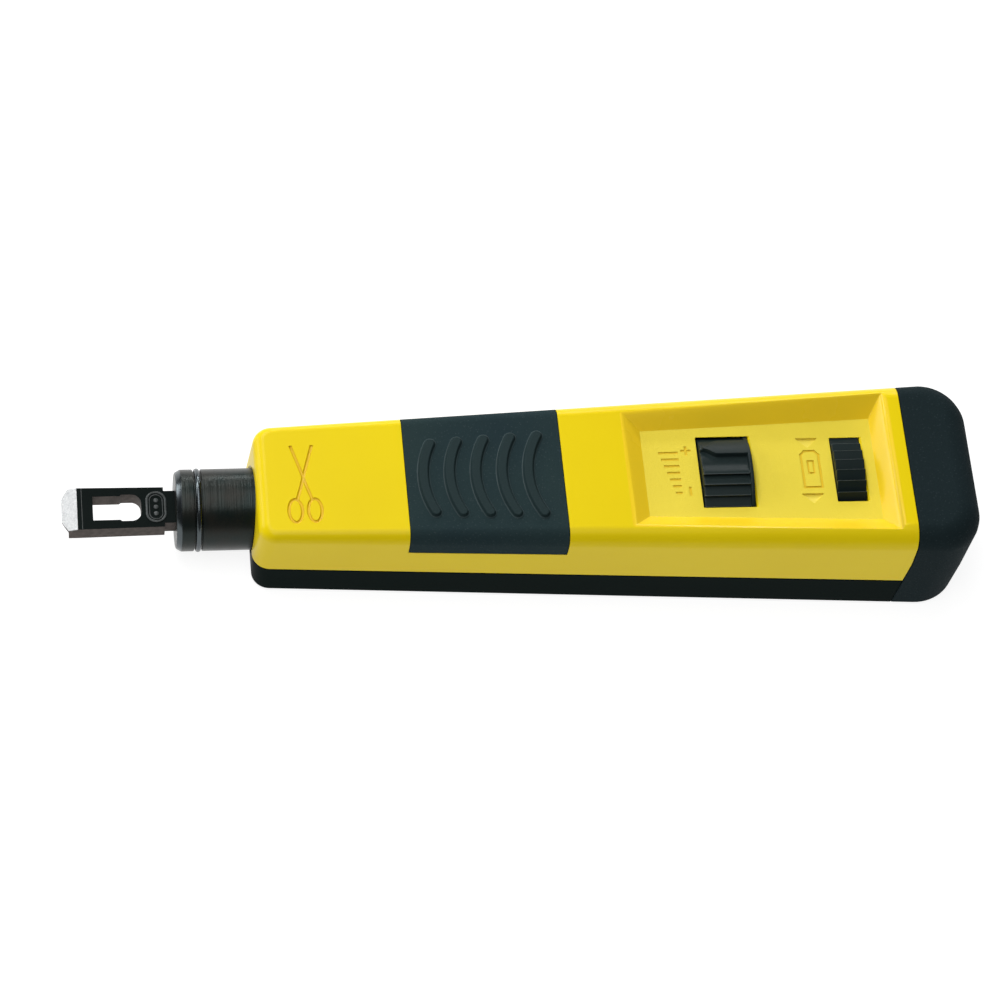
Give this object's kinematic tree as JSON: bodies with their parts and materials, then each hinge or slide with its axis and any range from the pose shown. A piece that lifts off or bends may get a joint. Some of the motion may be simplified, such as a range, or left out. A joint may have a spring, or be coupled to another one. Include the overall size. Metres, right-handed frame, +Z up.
{
  "type": "punch down tool",
  "caption": "Impact punch down tool: tapered split casing with a wrap-around grip pad, a sliding sprung chuck that holds a slotted flat blade, and two thumb wheels in a recessed panel.",
  "frame": {"origin": "centre of the bounding box in plan, at the height of the flat back that the tool lies on", "axes": "+X from the blade tip towards the tail cap, +Y away from the picture's camera, +Z up out of the recessed panel"},
  "size_m": [0.163, 0.0342, 0.0228],
  "materials": {
    "yellow_plastic": "moulded, satin gloss",
    "black_plastic": "moulded, satin",
    "grip_rubber": "matte, faintly bluish black",
    "cap_rubber": "matte, faint speckle",
    "wheel_plastic": "moulded, matte",
    "black_oxide_steel": "black oxide, turned or ground",
    "machined_steel": "machined",
    "bright_steel": "bright, fine ground",
    "spring_steel": "drawn wire and strip",
    "brass": "machined"
  },
  "bodies": {
    "casing": {"top_shell": "yellow_plastic", "bottom_shell": "black_plastic", "grip_pad": "grip_rubber", "end_cap": "cap_rubber", "casing_screw_nose_left": "machined_steel", "casing_screw_nose_right": "machined_steel", "casing_screw_tail_left": "machined_steel", "casing_screw_tail_right": "machined_steel", "latch_cam": "bright_steel", "thrust_plate": "machined_steel", "dial_detent_spring": "spring_steel", "return_spring": "spring_steel", "impact_spring": "spring_steel", "wheel_return_spring": "spring_steel"},
    "plunger": {"chuck_sleeve": "black_oxide_steel", "chuck_ring": "bright_steel", "retaining_clip": "bright_steel", "drive_stem": "bright_steel"},
    "blade": {"punch_blade": "black_oxide_steel"},
    "release_rod": {"release_rod": "bright_steel", "blade_lock": "brass"},
    "hammer": {"hammer": "machined_steel", "latch_spring": "spring_steel"},
    "latch": {"latch_plate": "bright_steel"},
    "impact_dial": {"impact_dial": "wheel_plastic"},
    "spring_follower": {"spring_follower": "machined_steel"},
    "release_wheel": {"release_wheel": "wheel_plastic"}
  },
  "joints": [
    {"name": "plunger_slide", "type": "slide", "parent": "casing", "child": "plunger", "axis": [0.9998, 0, 0.02], "range_m": [0, 0.008], "stiffness_N_per_m": 6000, "springref_m": -0.004, "deforming": ["return_spring"]},
    {"name": "hammer_slide", "type": "slide", "parent": "casing", "child": "hammer", "axis": [0.9998, 0, 0.02], "range_m": [0, 0.008], "deforming": ["impact_spring"]},
    {"name": "latch_slide", "type": "slide", "parent": "hammer", "child": "latch", "axis": [0, -1, 0], "range_m": [0, 0.00115], "deforming": ["latch_spring"]},
    {"name": "blade_slide", "type": "slide", "parent": "plunger", "child": "blade", "axis": [-0.9998, 0, -0.02], "range_m": [0, 0.03]},
    {"name": "dial_turn", "type": "hinge", "parent": "casing", "child": "impact_dial", "pos_m": [0.03698, 0, 0.01009], "axis": [0.9998, 0, 0.02], "range_deg": [0, 41]},
    {"name": "follower_slide", "type": "slide", "parent": "casing", "child": "spring_follower", "axis": [0.9998, 0, 0.02], "range_m": [0, 0.003], "deforming": ["impact_spring"]},
    {"name": "release_wheel_turn", "type": "hinge", "parent": "casing", "child": "release_wheel", "pos_m": [0.05948, 0, 0.01054], "axis": [0.9998, 0, 0.02], "range_deg": [0, 20], "stiffness_Nm_per_rad": 0.03, "springref_deg": -11.46, "deforming": ["wheel_return_spring"]},
    {"name": "rod_turn", "type": "hinge", "parent": "plunger", "child": "release_rod", "pos_m": [-0.0273, 0, 0.0088], "axis": [0.9998, 0, 0.02], "range_deg": [0, 20]}
  ],
  "couplings": [
    {"joint": "hammer_slide", "follows": "plunger_slide", "ratio": 1},
    {"joint": "latch_slide", "follows": "plunger_slide", "ratio": 0.14},
    {"joint": "follower_slide", "follows": "dial_turn", "m_per_rad": 0.0041},
    {"joint": "rod_turn", "follows": "release_wheel_turn", "ratio": 1}
  ]
}
